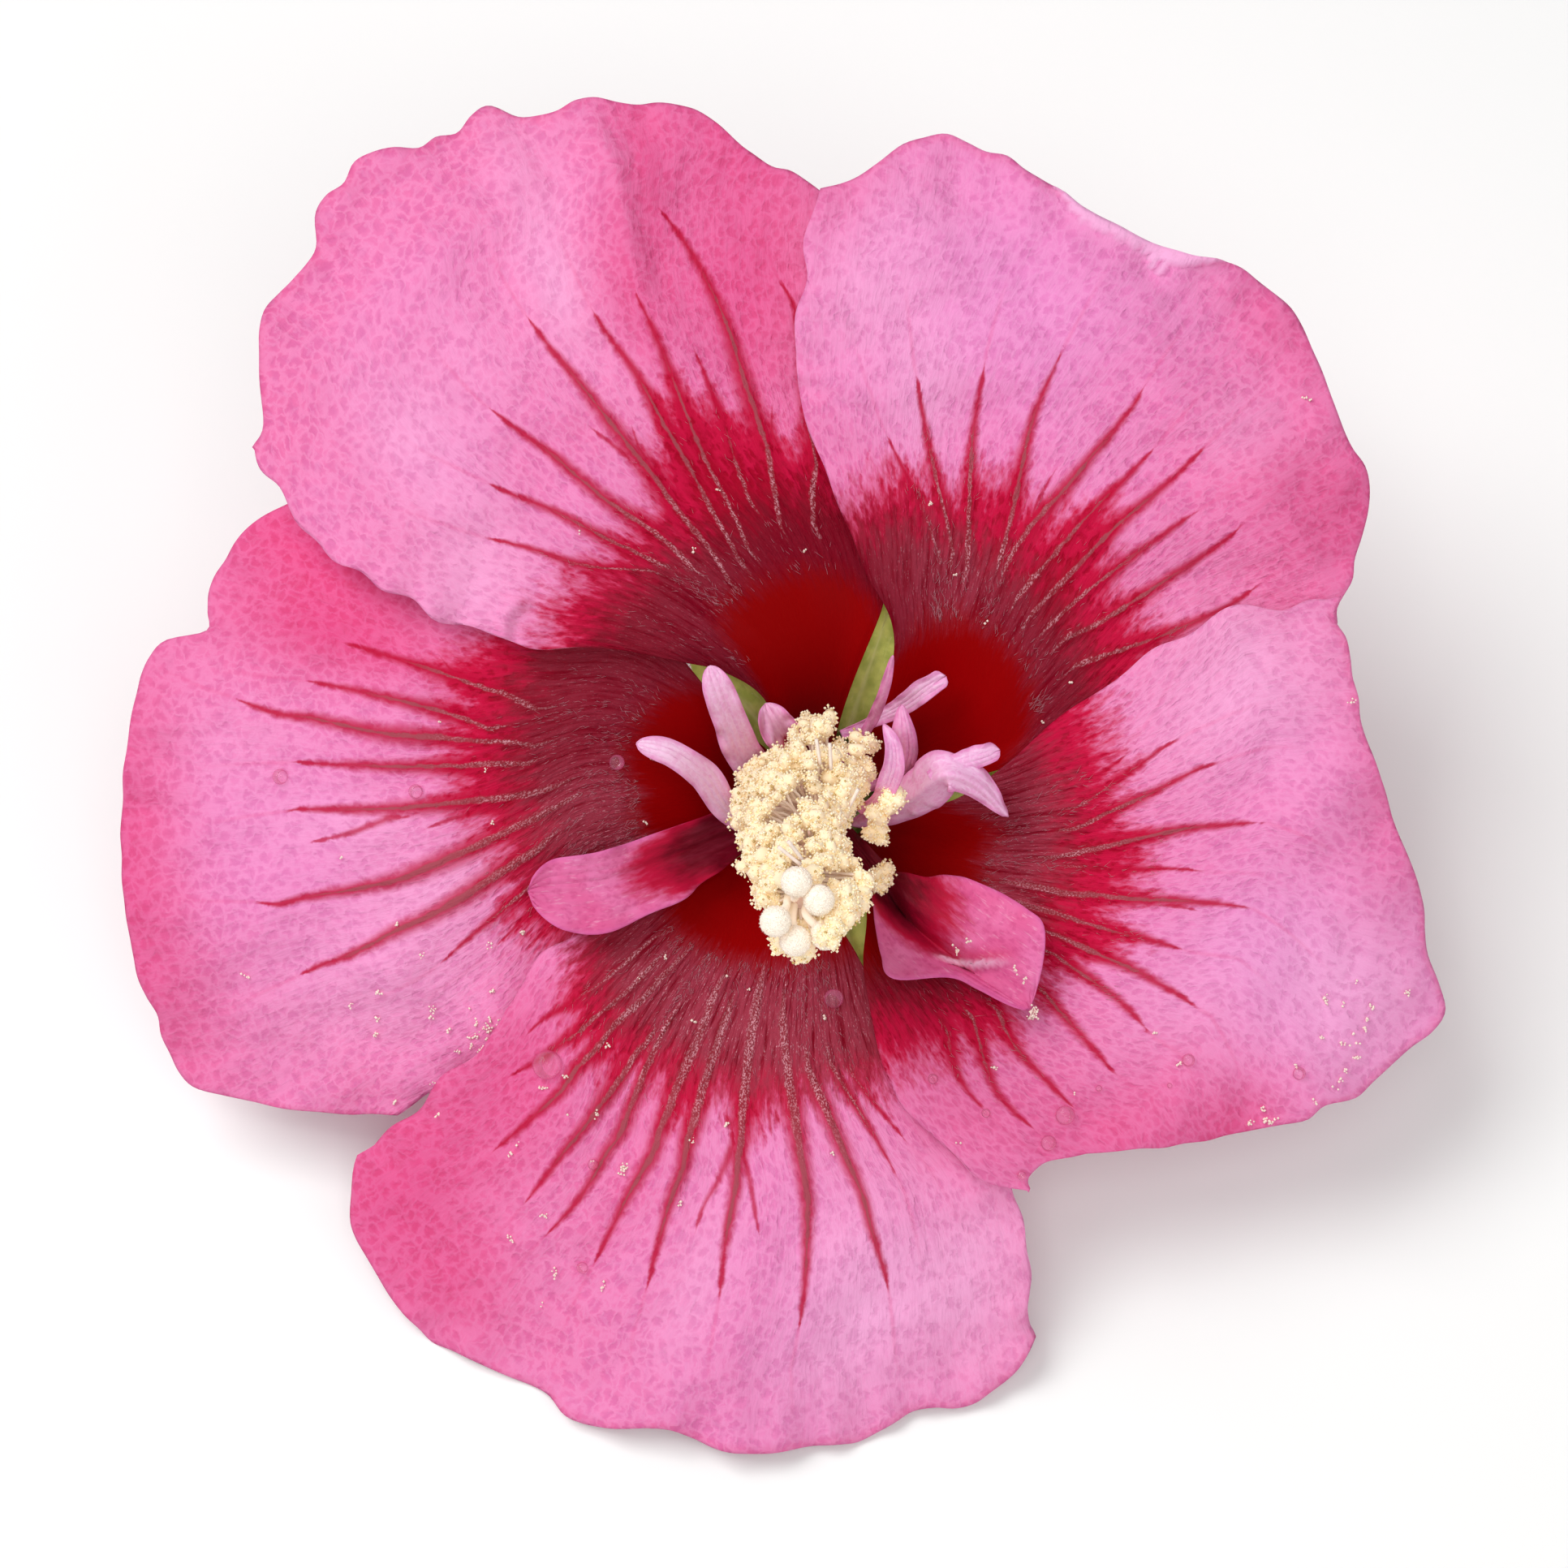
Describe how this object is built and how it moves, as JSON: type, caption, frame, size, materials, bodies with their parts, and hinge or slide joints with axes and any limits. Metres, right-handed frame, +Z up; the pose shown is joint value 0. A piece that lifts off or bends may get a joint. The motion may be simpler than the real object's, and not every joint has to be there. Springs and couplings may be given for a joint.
{
  "type": "rose of sharon bloom",
  "caption": "Open, semi-double shrub bloom as cut: overlapping pink petals with a dark red throat, petaloids, a stamen column with stigmas, and a green calyx on a short bent stalk.",
  "frame": {"origin": "centre of the bounding box's base, on the level surface that the cut bloom lies on", "axes": "+Z up, the lowest part of the bloom at z = 0; the open face of the bloom leans towards -Y; +X to the right as seen from -Y"},
  "size_m": [0.1004, 0.0918, 0.0484],
  "materials": {
    "petal": "soft satin petal, pink with crimson streaks running out of a dark red throat",
    "petaloid": "thin satin petaloid, pale lilac-pink",
    "anther": "matte, granular cream pollen",
    "column": "smooth, moist, pale pink-white",
    "stigma": "finely hairy ivory",
    "calyx": "matte green with short pale hairs",
    "bract": "matte green with short pale hairs",
    "stalk": "matte green, cut across",
    "ovary": "smooth pale green"
  },
  "bodies": {
    "root": {"stalk": "stalk", "calyx_cup": "calyx", "ovary": "ovary", "calyx_lobe_1": "calyx", "calyx_lobe_2": "calyx", "calyx_lobe_3": "calyx", "calyx_lobe_4": "calyx", "calyx_lobe_5": "calyx", "epicalyx_bract_1": "bract", "epicalyx_bract_2": "bract", "epicalyx_bract_3": "bract", "epicalyx_bract_4": "bract", "epicalyx_bract_5": "bract", "epicalyx_bract_6": "bract", "epicalyx_bract_7": "bract", "petal_upper_left": "petal", "petal_upper_right": "petal", "petal_right": "petal", "petal_lower": "petal", "petal_left": "petal", "petaloid_strap_inner": "petaloid", "petaloid_strap_outer": "petaloid", "petaloid_large_left": "petaloid", "petaloid_curled": "petaloid", "petaloid_thin": "petaloid", "petaloid_notched": "petaloid", "petaloid_hooded": "petaloid", "petaloid_leaf": "petaloid", "petaloid_bent": "petaloid", "petaloid_large_right": "petaloid", "stamen_column": "column", "anther_tuft_1": "anther", "anther_tuft_2": "anther", "anther_tuft_3": "anther", "anther_tuft_4": "anther", "anther_tuft_5": "anther", "anther_tuft_6": "anther", "anther_tuft_7": "anther", "anther_tuft_8": "anther", "anther_tuft_9": "anther", "anther_tuft_10": "anther", "anther_tuft_11": "anther", "anther_tuft_12": "anther", "anther_tuft_13": "anther", "anther_tuft_14": "anther", "anther_tuft_15": "anther", "anther_tuft_16": "anther", "anther_tuft_17": "anther", "anther_tuft_18": "anther", "anther_tuft_19": "anther", "anther_tuft_20": "anther", "stigma_1": "stigma", "stigma_2": "stigma", "stigma_3": "stigma", "stigma_4": "stigma", "stigma_5": "stigma"}
  },
  "joints": []
}
